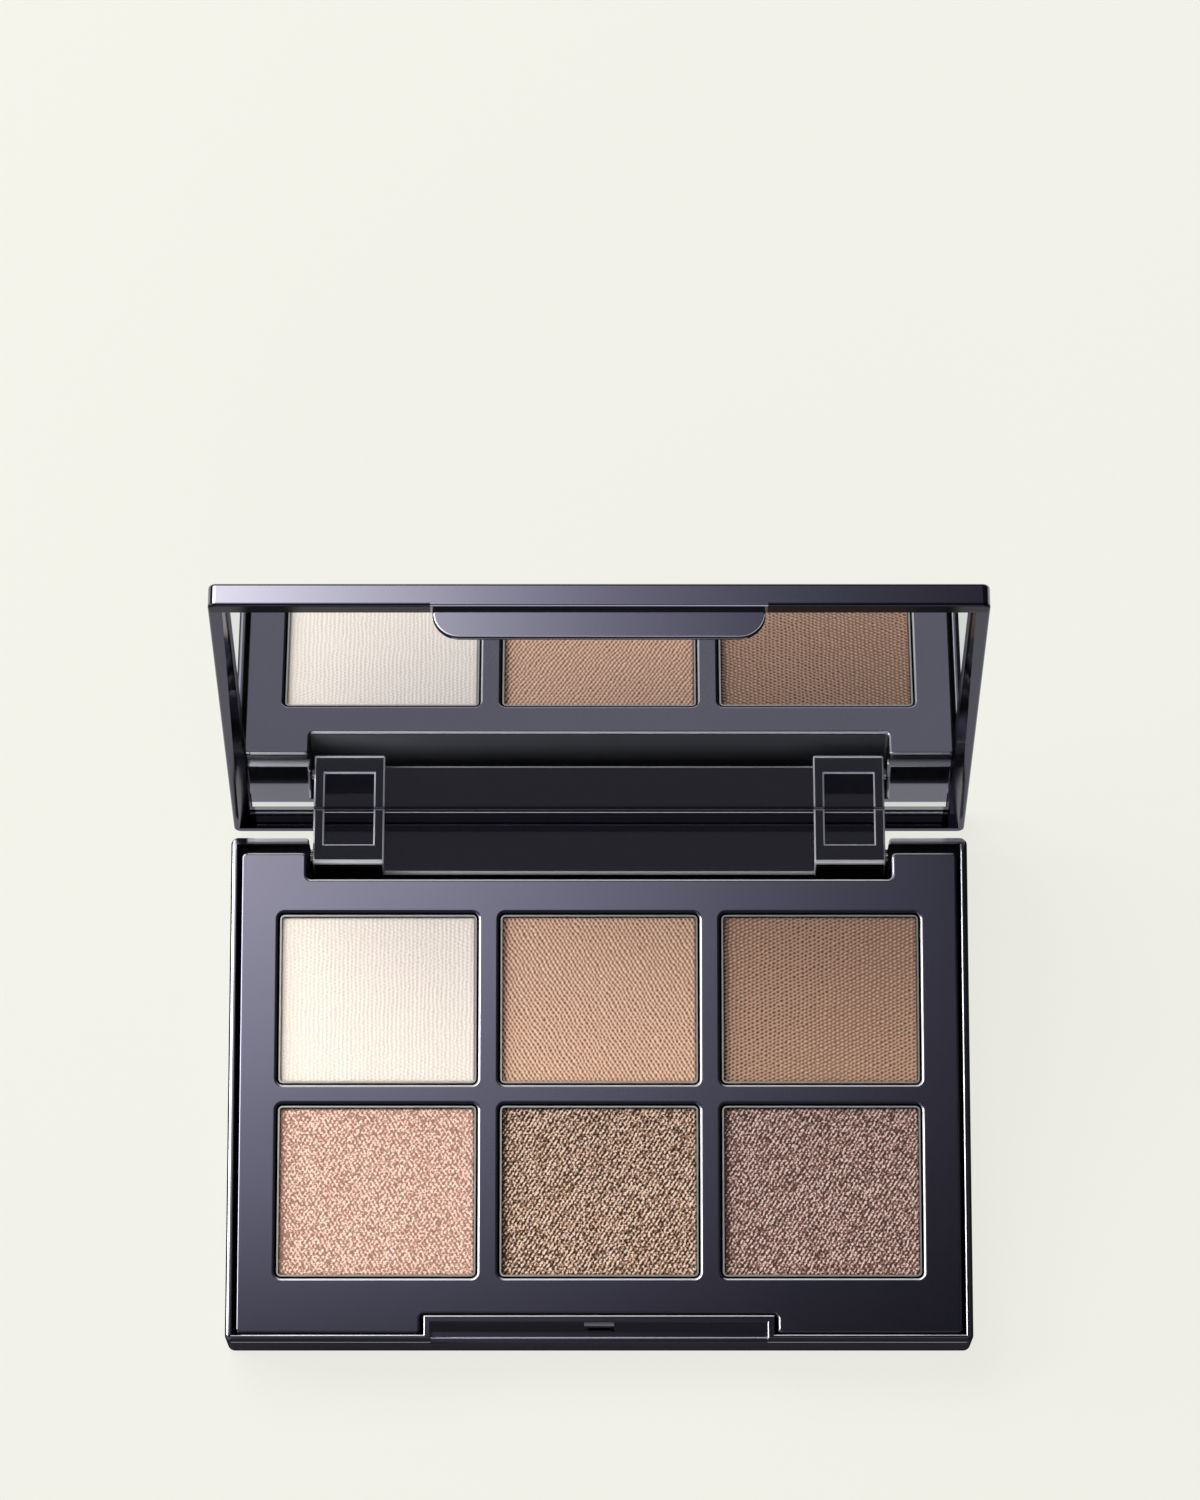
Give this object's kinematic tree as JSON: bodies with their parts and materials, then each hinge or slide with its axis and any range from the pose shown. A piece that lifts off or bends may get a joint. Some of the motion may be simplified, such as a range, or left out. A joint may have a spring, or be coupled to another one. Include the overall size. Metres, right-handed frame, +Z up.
{
  "type": "eyeshadow palette",
  "caption": "Slim hinged compact lying open, with a mirror in its lid, pressed eyeshadow pans set in a glossy dark deck, a front finger notch and a lid tab that drops into it.",
  "frame": {"origin": "middle of the base's flat underside", "axes": "+X to the right along the hinge, +Y from the finger notch to the hinge, +Z up"},
  "size_m": [0.1, 0.089, 0.0684],
  "materials": {
    "case_plastic": "glossy moulded plastic, very dark indigo",
    "deck_plastic": "satin-gloss moulded plastic, very dark indigo",
    "pan_tin": "bright pressed sheet",
    "pin_steel": "drawn wire",
    "mirror": "silvered glass",
    "tape": "double-sided tape",
    "glue": "set hot-melt glue",
    "powder_rear_left": "matte pressed powder with a fine cloth texture",
    "powder_rear_middle": "matte pressed powder with a fine cloth texture",
    "powder_rear_right": "matte pressed powder with a fine cloth texture",
    "powder_front_left": "shimmering pressed powder with fine flakes",
    "powder_front_middle": "shimmering pressed powder with fine flakes",
    "powder_front_right": "shimmering pressed powder with fine flakes"
  },
  "bodies": {
    "base": {"base_shell": "case_plastic", "deck_insert": "deck_plastic", "glue_pads": "glue", "hinge_pin_left": "pin_steel", "hinge_pin_right": "pin_steel", "pan_rear_left": "pan_tin", "pan_rear_middle": "pan_tin", "pan_rear_right": "pan_tin", "pan_front_left": "pan_tin", "pan_front_middle": "pan_tin", "pan_front_right": "pan_tin", "powder_rear_left": "powder_rear_left", "powder_rear_middle": "powder_rear_middle", "powder_rear_right": "powder_rear_right", "powder_front_left": "powder_front_left", "powder_front_middle": "powder_front_middle", "powder_front_right": "powder_front_right"},
    "lid": {"lid_shell": "case_plastic", "mirror_glass": "mirror", "mirror_tape": "tape"}
  },
  "joints": [
    {"name": "lid_hinge", "type": "hinge", "parent": "base", "child": "lid", "pos_m": [0, 0.0325, 0.004], "axis": [1, 0, 0], "range_deg": [0, 102]}
  ]
}
